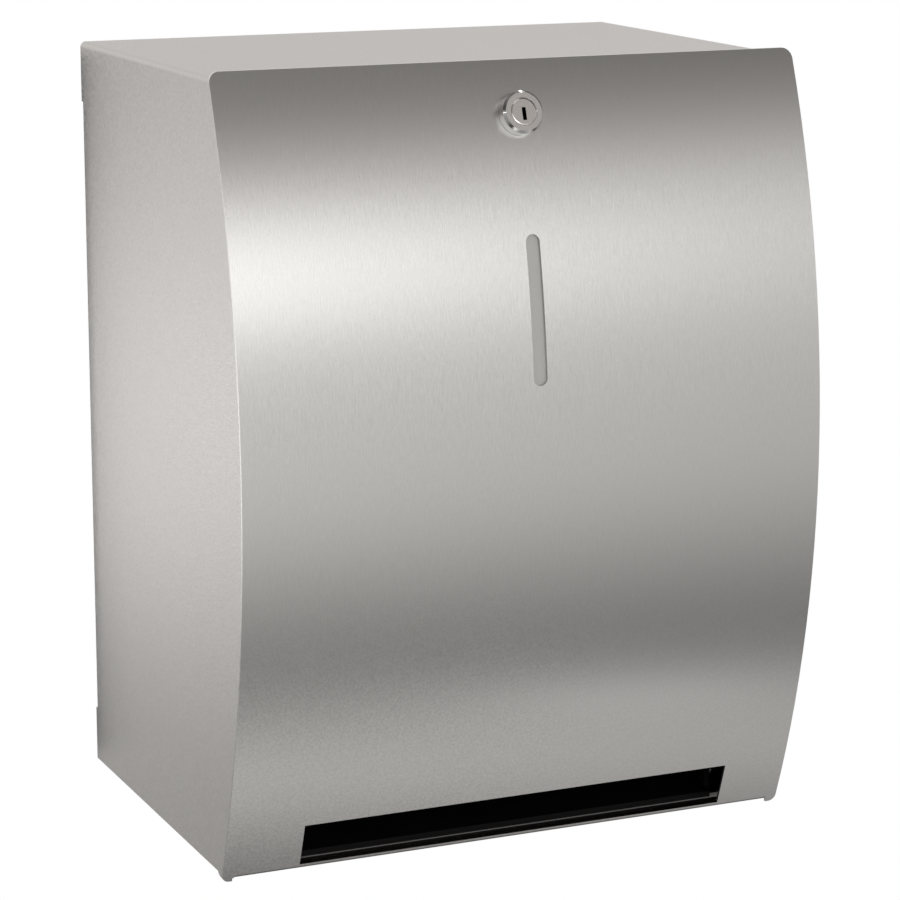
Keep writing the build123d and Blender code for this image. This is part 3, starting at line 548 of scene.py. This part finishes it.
def paper_finish(settings):
    """Soft embossed towel paper."""
    base = settings.paper_colour
    material = new_finish("towel_paper", base, 0.0, 0.92)
    fill_shader(material, Sheen_Weight=0.25, Sheen_Roughness=0.6)
    fibre = speckle(material, 2600)
    cells = object_coords(material, (1 / settings.emboss,) * 3)
    dimple = add(
        material, "ShaderNodeTexVoronoi", feature="F1", Vector=cells, Scale=1.0, Randomness=0.15
    )
    shade(material, fibre, scaled(base, 0.94), scaled(base, 1.03))
    embossed = bump(material, dimple.outputs["Distance"], strength=0.35, distance=0.0006)
    bump(material, fibre, strength=0.25, distance=0.0003, under=embossed)
    return material


def cardboard_finish(settings):
    """Spiral-wound cardboard tube."""
    base = settings.core_colour
    material = new_finish("core_cardboard", base, 0.0, 0.88)
    fibre = noise(material, object_coords(material, (700, 2200, 2200)), detail=4.0)
    seam = add(
        material, "ShaderNodeTexWave", wave_type="BANDS", bands_direction="X",
        Vector=object_coords(material, turn=(0, 0, math.radians(35))), Scale=9.0, Distortion=0.4,
    )
    mixed = math_node(material, "ADD", fibre, math_node(material, "MULTIPLY", seam.outputs["Fac"], 0.12))
    shade(material, mixed, scaled(base, 0.8), scaled(base, 1.15))
    bump(material, fibre, strength=0.3, distance=0.0003)
    return material


def rubber_finish(settings):
    """Ground rubber, matt and slightly dusty."""
    base = settings.rubber_colour
    material = new_finish("roller_rubber", base, 0.0, 0.82)
    fine = speckle(material, 2400)
    dust = speckle(material, 160, detail=4.0)
    shade(material, dust, scaled(base, 0.8), scaled(base, 1.7))
    bump(material, fine, strength=0.2, distance=0.0003)
    return material


# Pieces

class DISPENSER_OT_sheet_metal(bpy.types.Operator):
    """Finish the folded sheets: door, casing, plates, brackets and lugs"""

    bl_idname = "dispenser.sheet_metal"
    bl_label = "Sheet metal"

    def execute(self, context):
        steel = context.scene.dispenser_steel
        dress_nodes(["door_panel"], door_finish(steel))
        dress_nodes(["case_shell", "back_plate"], casing_finish(steel))
        floor_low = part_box("bottom_plate")[0]
        # Painted shade covers the floor sheet's inside face above this height and its hem in front of this
        # depth.
        painted_shade_from = 0.0026
        hem_depth = 0.0022
        floor_sheet = floor_sheet_with_painted_shade(steel, floor_low.z + painted_shade_from, floor_low.y + hem_depth)
        dress_nodes(["bottom_plate"], floor_sheet)
        inner = grained_metal(
            "inner_mill_steel", steel.inner_colour, roughness=0.34, streak=(0.012, 0.0006, 0.0006)
        )
        dress_nodes(
            ["lock_strike", "roll_bracket_left", "roll_bracket_right", "door_lug_left", "door_lug_right",
             "pinch_yoke"],
            inner,
        )
        return {"FINISHED"}


class DISPENSER_OT_hardware(bpy.types.Operator):
    """Finish the plated fasteners, ground shafts, springs and the tear blade"""

    bl_idname = "dispenser.hardware"
    bl_label = "Hardware"

    def execute(self, context):
        plated = grained_metal(
            "fastener_plating", (0.66, 0.66, 0.655), roughness=0.22, streak=(0.0012,) * 3,
            contrast=0.06, strength=0.05,
        )
        dress_nodes(
            ["hinge_studs", "bracket_nuts", "frame_nuts", "bar_screws", "blade_screws", "window_nuts",
             "lock_washer", "lock_nut", "lock_cam", "cam_screw"],
            plated,
        )
        ground = grained_metal(
            "ground_bar", (0.68, 0.68, 0.685), roughness=0.20, streak=(0.0004, 0.02, 0.02),
            contrast=0.04, strength=0.05,
        )
        dress_nodes(
            ["guide_bar", "pinch_pivot", "roll_spindle", "feed_shaft", "shaft_collar", "pinch_shaft"], ground
        )
        wire = grained_metal(
            "spring_wire", (0.44, 0.44, 0.46), roughness=0.28, streak=(0.0008,) * 3,
            contrast=0.10, strength=0.08,
        )
        dress_nodes(["pinch_springs", "pinch_clips"], wire)
        blade = grained_metal(
            "blade_steel", (0.70, 0.70, 0.705), roughness=0.24, streak=(0.02, 0.0005, 0.0005),
            contrast=0.05, strength=0.05,
        )
        dress_nodes(["tear_blade"], blade)
        return {"FINISHED"}


class DISPENSER_OT_plastics(bpy.types.Operator):
    """Finish the moulded pieces and the window's pane"""

    bl_idname = "dispenser.plastics"
    bl_label = "Plastics and pane"

    def execute(self, context):
        feed = context.scene.dispenser_feed
        black = moulded("black_moulding", feed.plastic_colour, roughness=0.5, gloss=0.12)
        dress_nodes(
            ["feed_frame_left", "feed_frame_right", "outlet_chute", "outlet_hood", "window_retainer"], black
        )
        white = moulded("white_moulding", (0.74, 0.74, 0.72), roughness=0.42)
        dress_nodes(["feed_bushes", "spindle_hubs"], white)
        grey = moulded("grey_moulding", (0.14, 0.14, 0.15), roughness=0.48)
        dress_nodes(["feed_core", "thumb_wheel"], grey)
        dress_nodes(["window_pane"], pane_finish())
        return {"FINISHED"}


def housing_rings(lock, proud):
    """Rings of the lock's housing: a threaded barrel behind the door and a chamfered head before it."""
    bore = 0.007
    barrel = 0.009
    rear = -0.020
    neck = 0.0004
    head = 0.011
    foot = 0.0002
    edge = 0.00006
    face = head - lock.rim_chamfer
    root = barrel - lock.thread_depth
    crest_share = 0.2
    flank_share = 0.6
    rings = [(bore, rear), (root, rear)]
    height = rear + lock.thread_pitch / 2
    while height < -lock.thread_pitch:
        rings += [(barrel, height), (barrel, height + lock.thread_pitch * crest_share)]
        rings += [(root, height + lock.thread_pitch * flank_share)]
        height += lock.thread_pitch
    return rings + [
        (barrel, -neck),
        (barrel, 0.0),
        (head - foot, 0.0),
        (head, foot),
        (head, proud - lock.rim_depth - edge),
        (head - edge, proud - lock.rim_depth + edge),
        (face + edge, proud - edge),
        (face, proud),
        (bore + lock.bore_chamfer, proud),
        (bore, proud - lock.bore_chamfer),
        (bore, rear),
    ]


class DISPENSER_OT_lock(bpy.types.Operator):
    """Turn the lock's housing with its chamfers and threaded barrel, and finish the plug"""

    bl_idname = "dispenser.lock"
    bl_label = "Cam lock"

    def execute(self, context):
        lock = context.scene.dispenser_lock
        proud = 0.0065
        housing = turned("lock_bezel", housing_rings(lock, proud), sides=96, place=lock_matrix(), angle=15)
        polished = grained_metal(
            "lock_polished", lock.rim_colour, roughness=0.06, streak=(0.0015,) * 3,
            contrast=0.02, strength=0.02,
        )
        dress(housing, polished, lock_satin("lock_satin", lock))
        axis = joint_axis["lock_turn"].normalized()
        face_level = proud - 1e-5
        for polygon in housing.data.polygons:
            flat = polygon.normal.dot(axis) > 0.98
            out = (polygon.center - joint_at["lock_turn"]).dot(axis) > face_level
            polygon.material_index = 1 if flat and out else 0
        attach(housing, "door")
        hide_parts("lock_housing")
        dress_nodes(["lock_plug"], plug_finish(lock, axis, proud - lock.key_shadow))
        soften("lock_plug", lock.bore_chamfer)
        return {"FINISHED"}


def paper_tail(radius, half, lift):
    """Free end of the paper: a strip that follows the roll and stands off it at its end."""
    centre = joint_at["roll_spin"]
    gap = 0.0002
    steps = 16
    step_angle = math.radians(-2.4)
    bpy.ops.object.select_all(action="DESELECT")
    bpy.ops.mesh.primitive_plane_add(size=1, location=(centre.x, centre.y, centre.z))
    piece = bpy.context.active_object
    piece.name = "towel_tail"
    bpy.ops.object.mode_set(mode="EDIT")
    bpy.ops.mesh.select_mode(type="VERT")
    bpy.ops.mesh.select_all(action="SELECT")
    bpy.ops.mesh.merge(type="CENTER")
    bpy.ops.transform.translate(value=(-half, -radius - gap, 0))
    bpy.ops.mesh.extrude_region_move(TRANSFORM_OT_translate={"value": (2 * half, 0, 0)})
    bpy.ops.mesh.select_all(action="SELECT")
    for i in range(steps):
        bpy.ops.mesh.extrude_region_move(TRANSFORM_OT_translate={"value": (0, 0, 0)})
        bpy.ops.transform.rotate(value=step_angle, orient_axis="X", center_override=centre)
        bpy.ops.transform.translate(value=(0, -lift * (2 * i + 1) / steps**2, 0))
    bpy.ops.object.mode_set(mode="OBJECT")
    only(piece)
    thick = piece.modifiers.new("thickness", "SOLIDIFY")
    thick.thickness = 0.0004
    thick.offset = 1
    bpy.ops.object.modifier_apply(modifier=thick.name)
    settle(piece, angle=60)
    return piece


def roll_end_rings(inner, outer, half, roll):
    """Rings over one end of the wound paper, from its core to its rounded edge."""
    step = (outer - inner) / roll.layers
    dip_share = 0.04
    crest_start = 0.35
    crest_end = 0.8
    phase = 2.4
    unevenness = 0.6
    edge_width = 0.0006
    edge_fall = 0.0002
    edge_depth = 0.0012
    rings = []
    for i in range(roll.layers):
        dip = roll.layer_step * (1 + math.sin(i * phase) * unevenness)
        rings += [(inner + step * i + step * dip_share, half - dip)]
        rings += [(inner + step * (i + share), half) for share in (crest_start, crest_end)]
    return rings + [(outer - edge_width, half - edge_fall), (outer, half - edge_depth)]


class DISPENSER_OT_paper_roll(bpy.types.Operator):
    """Turn the wound paper with its rings on the ends, and finish its core"""

    bl_idname = "dispenser.paper_roll"
    bl_label = "Paper roll"

    def execute(self, context):
        roll = context.scene.dispenser_roll
        low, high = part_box("paper_roll")
        outer = across_radius("paper_roll")
        half = (high.x - low.x) / 2
        end = roll_end_rings(across_radius("roll_core"), outer, half, roll)
        rings = end + [(radius, -height) for radius, height in reversed(end)]
        rings.append(rings[0])
        wound = turned("towel_roll", rings, sides=128, place=across_at(joint_at["roll_spin"]))
        paper = paper_finish(roll)
        dress(wound, paper)
        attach(wound, "paper_roll")
        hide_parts("paper_roll")
        side_margin = 0.0015
        tail = paper_tail(outer, half - side_margin, roll.tail_lift)
        dress(tail, paper)
        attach(tail, "paper_roll")
        dress_nodes(["roll_core"], cardboard_finish(roll))
        return {"FINISHED"}


def sleeve_rings(outer, bore, width, feed):
    """Rings of one rubber sleeve, ribbed outside."""
    valley = outer - feed.rib_depth
    ribs = int(width / feed.rib_pitch)
    pitch = width / ribs
    rib = [(valley, 0.05), (outer, 0.25), (outer, 0.75), (valley, 0.95)]
    rings = [(bore, -width / 2), (valley, -width / 2)]
    for i in range(ribs):
        start = -width / 2 + pitch * i
        rings += [(radius, start + pitch * share) for radius, share in rib]
    return rings + [(valley, width / 2), (bore, width / 2), (bore, -width / 2)]


class DISPENSER_OT_rubber_sleeves(bpy.types.Operator):
    """Turn one ribbed sleeve for each roller and copy it along the shaft"""

    bl_idname = "dispenser.rubber_sleeves"
    bl_label = "Rubber sleeves"

    def execute(self, context):
        feed = context.scene.dispenser_feed
        rubber = rubber_finish(feed)
        count = 5
        width = 0.034
        clearance = 0.00002
        for node, joint, body, bore_node in (
            ("feed_sleeves", "feed_spin", "feed_roller", "feed_core"),
            ("pinch_sleeves", "pinch_spin", "pinch_roller", "pinch_shaft"),
        ):
            low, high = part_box(node)
            rings = sleeve_rings(across_radius(node), across_radius(bore_node) + clearance, width, feed)
            first = Vector((low.x + width / 2, joint_at[joint].y, joint_at[joint].z))
            sleeve = turned(node[:-1] + "_set", rings, sides=64, place=across_at(first))
            step = (high.x - low.x - width) / (count - 1)
            repeat(sleeve, [(step * i, 0, 0) for i in range(1, count)])
            dress(sleeve, rubber)
            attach(sleeve, body)
            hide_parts(node)
        return {"FINISHED"}


# Light levels by height above the horizon in degrees: the hall before the dispenser and the room behind it
HALL_STOPS = [
    (-90, 0.12), (-62, 0.15), (-53, 0.22), (-45, 0.90), (-36, 0.06), (-27, 0.26), (-15, 0.82), (-5, 0.72),
    (8, 0.91), (14, 1.17), (20, 1.0), (26, 0.26), (32, 0.165), (60, 0.19), (90, 0.13),
]
ROOM_STOPS = [
    (-90, 0.15), (-30, 0.34), (-18, 0.285), (-8, 0.56), (8, 0.95), (32, 1.05), (50, 0.4), (68, 0.15),
    (90, 0.12),
]

# Small lamps round the lock: the way to each one and its share of the power
LOCK_SPOTS = {
    "rear": ((0.42, 0.46, 0.78), 1.0),
    "left": ((-0.89, -0.34, 0.31), 0.25),
    "low": ((0.40, -0.55, -0.735), 0.15),
}


def lamp(name, place, target, size, power):
    """Soft rectangular lamp that points at a target."""
    data = bpy.data.lights.new(name, "AREA")
    data.shape = "RECTANGLE"
    data.size, data.size_y = size
    data.energy = power
    piece = bpy.data.objects.new(name, data)
    bpy.context.scene.collection.objects.link(piece)
    piece.location = place
    piece.rotation_euler = (Vector(target) - Vector(place)).to_track_quat("-Z", "Y").to_euler()
    piece.visible_camera = False


def light_levels(world, height, stops, overhead):
    """Grey levels by height above the horizon, slightly warm and with a tint overhead."""
    warm = (1, 0.984, 0.964)
    overhead_from = 19
    node = add(world, "ShaderNodeValToRGB", Fac=height)
    node.color_ramp.interpolation = "B_SPLINE"
    while len(node.color_ramp.elements) < len(stops):
        node.color_ramp.elements.new(0.5)
    for element, (degrees, level) in zip(node.color_ramp.elements, stops):
        element.position = degrees / 180 + 0.5
        tint = overhead if degrees > overhead_from else warm
        element.color = (*(level * channel for channel in tint), 1)
    return node.outputs["Color"]


def studio_world():
    """Pale room behind the dispenser and a hall before it that dims upwards, downwards and sideways."""
    world = bpy.data.worlds.new("studio")
    world.use_nodes = True
    bpy.context.scene.world = world
    way = split(world, add(world, "ShaderNodeTexCoord").outputs["Generated"])
    rise = math_node(world, "ARCSINE", way["Z"])
    height = spread(world, rise, 0.0, 1.0, source=(-math.pi / 2, math.pi / 2))
    hall = light_levels(world, height, HALL_STOPS, overhead=(1, 0.955, 0.918))
    room = light_levels(world, height, ROOM_STOPS, overhead=(1, 0.966, 0.938))
    low = spread(world, way["Z"], 0.0, 0.13, source=(-0.5, -0.62))
    right = spread(world, math_node(world, "SUBTRACT", way["X"], low), 1.36, 0.51, source=(0.1, 0.7))
    left = spread(world, way["X"], 1.0, 0.3, source=(-0.38, -0.5))
    sides = math_node(world, "MULTIPLY", right, left)
    dimmed = add(world, "ShaderNodeVectorMath", operation="SCALE", Vector=hall, Scale=sides)
    behind = spread(world, way["Y"], 0.0, 1.0, source=(-0.15, 0.45), interpolation_type="SMOOTHSTEP")
    around = mix(world, "RGBA", behind, dimmed.outputs["Vector"], room)
    seen = add(world, "ShaderNodeLightPath").outputs["Is Camera Ray"]
    backdrop = mix(world, "RGBA", seen, around, (1, 1, 1, 1))
    fill(world, world.node_tree.nodes["Background"].inputs["Color"], backdrop)


def floor_finish():
    """Pale floor that reads as the white background in the picture."""
    material = new_finish("studio_floor", (0.30, 0.30, 0.30), 0.0, 0.9)
    tree = material.node_tree
    seen = add(material, "ShaderNodeLightPath").outputs["Is Camera Ray"]
    glow = add(material, "ShaderNodeEmission", Strength=1.0)
    blend = add(material, "ShaderNodeMixShader", Fac=seen)
    tree.links.new(tree.nodes["Principled BSDF"].outputs["BSDF"], blend.inputs[1])
    tree.links.new(glow.outputs["Emission"], blend.inputs[2])
    tree.links.new(blend.outputs["Shader"], tree.nodes["Material Output"].inputs["Surface"])
    return material


def set_camera(scene, stage):
    """Stand the camera at its place and point it at its target."""
    camera = bpy.data.objects.new("camera", bpy.data.cameras.new("camera"))
    scene.collection.objects.link(camera)
    camera.data.sensor_width = 36
    camera.data.lens = stage.lens
    camera.location = stage.camera_place
    look = (Vector(stage.camera_target) - Vector(stage.camera_place)).to_track_quat("-Z", "Y")
    camera.rotation_euler = (look.to_matrix() @ Matrix.Rotation(stage.camera_roll, 3, "Z")).to_euler()
    scene.camera = camera
    scene.view_settings.view_transform = "Standard"


def lay_floor(stage):
    """Floor below the dispenser."""
    bpy.ops.object.select_all(action="DESELECT")
    bpy.ops.mesh.primitive_grid_add(
        x_subdivisions=4, y_subdivisions=4, size=stage.floor_size, location=(0, 0, -stage.floor_drop)
    )
    floor = bpy.context.active_object
    floor.name = "floor"
    dress(floor, floor_finish())


def hang_card():
    """Black card behind the casing's left edge, which darkens that edge and isn't seen itself."""
    bpy.ops.mesh.primitive_plane_add(
        size=1, location=(-0.169, 0.03, -0.01), rotation=(math.radians(90), 0, 0)
    )
    card = bpy.context.active_object
    card.name = "rear_card"
    card.scale = (0.022, 0.40, 1)
    card.visible_camera = False
    dress(card, new_finish("card_black", (0.01, 0.01, 0.01), 0.0, 0.9))


def hang_lamps(stage):
    """Softboxes round the dispenser and small lamps that make the lock's edges shine."""
    lamp("front_softbox", (0.50, -2.90, 0.70), (0, -0.2, 0.05), (1.0, 0.62), stage.key_power)
    lamp("left_softbox", (-0.62, 0.54, -0.13), (-0.16, -0.1, 0.0), (0.35, 0.30), stage.side_power)
    lamp("overhead_softbox", (-0.2, -0.9, 1.7), (0, -0.1, 0), (1.6, 1.0), stage.top_power)
    centre = joint_at["lock_turn"]
    distance = 1.4
    full_size = 0.14
    for name, (way, share) in LOCK_SPOTS.items():
        size = full_size * math.sqrt(share)
        place = centre + Vector(way) * distance
        lamp("lock_spot_" + name, place, centre, (size, size), stage.spot_power * share)


class DISPENSER_OT_stage(bpy.types.Operator):
    """Set the camera, the floor and the studio light"""

    bl_idname = "dispenser.stage"
    bl_label = "Stage"

    def execute(self, context):
        stage = context.scene.dispenser_stage
        set_camera(context.scene, stage)
        lay_floor(stage)
        hang_card()
        studio_world()
        hang_lamps(stage)
        return {"FINISHED"}


class DISPENSER_PT_sidebar(bpy.types.Panel):
    """Sizes, colours and steps of the dispenser"""

    bl_idname = "DISPENSER_PT_sidebar"
    bl_label = "Towel dispenser"
    bl_space_type = "VIEW_3D"
    bl_region_type = "UI"
    bl_category = "Dispenser"

    def draw(self, context):
        for name in groups:
            box = self.layout.box()
            settings = getattr(context.scene, name)
            for key in settings.bl_rna.properties.keys():
                if key not in ("rna_type", "name"):
                    box.prop(settings, key)
        for operator in operators:
            self.layout.operator(operator.bl_idname)


groups = {
    "dispenser_steel": SteelSettings,
    "dispenser_lock": LockSettings,
    "dispenser_roll": RollSettings,
    "dispenser_feed": FeedSettings,
    "dispenser_stage": StageSettings,
}
operators = (
    DISPENSER_OT_sheet_metal,
    DISPENSER_OT_hardware,
    DISPENSER_OT_plastics,
    DISPENSER_OT_lock,
    DISPENSER_OT_paper_roll,
    DISPENSER_OT_rubber_sleeves,
    DISPENSER_OT_stage,
)


def register():
    for name, group in groups.items():
        bpy.utils.register_class(group)
        setattr(bpy.types.Scene, name, PointerProperty(type=group))
    for cls in (*operators, DISPENSER_PT_sidebar):
        bpy.utils.register_class(cls)


def unregister():
    for cls in (DISPENSER_PT_sidebar, *reversed(operators)):
        bpy.utils.unregister_class(cls)
    for name, group in reversed(groups.items()):
        delattr(bpy.types.Scene, name)
        bpy.utils.unregister_class(group)


def main():
    """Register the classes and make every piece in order."""
    register()
    bpy.ops.dispenser.sheet_metal()
    bpy.ops.dispenser.hardware()
    bpy.ops.dispenser.plastics()
    bpy.ops.dispenser.lock()
    bpy.ops.dispenser.paper_roll()
    bpy.ops.dispenser.rubber_sleeves()
    bpy.ops.dispenser.stage()


if __name__ == "__main__":
    main()
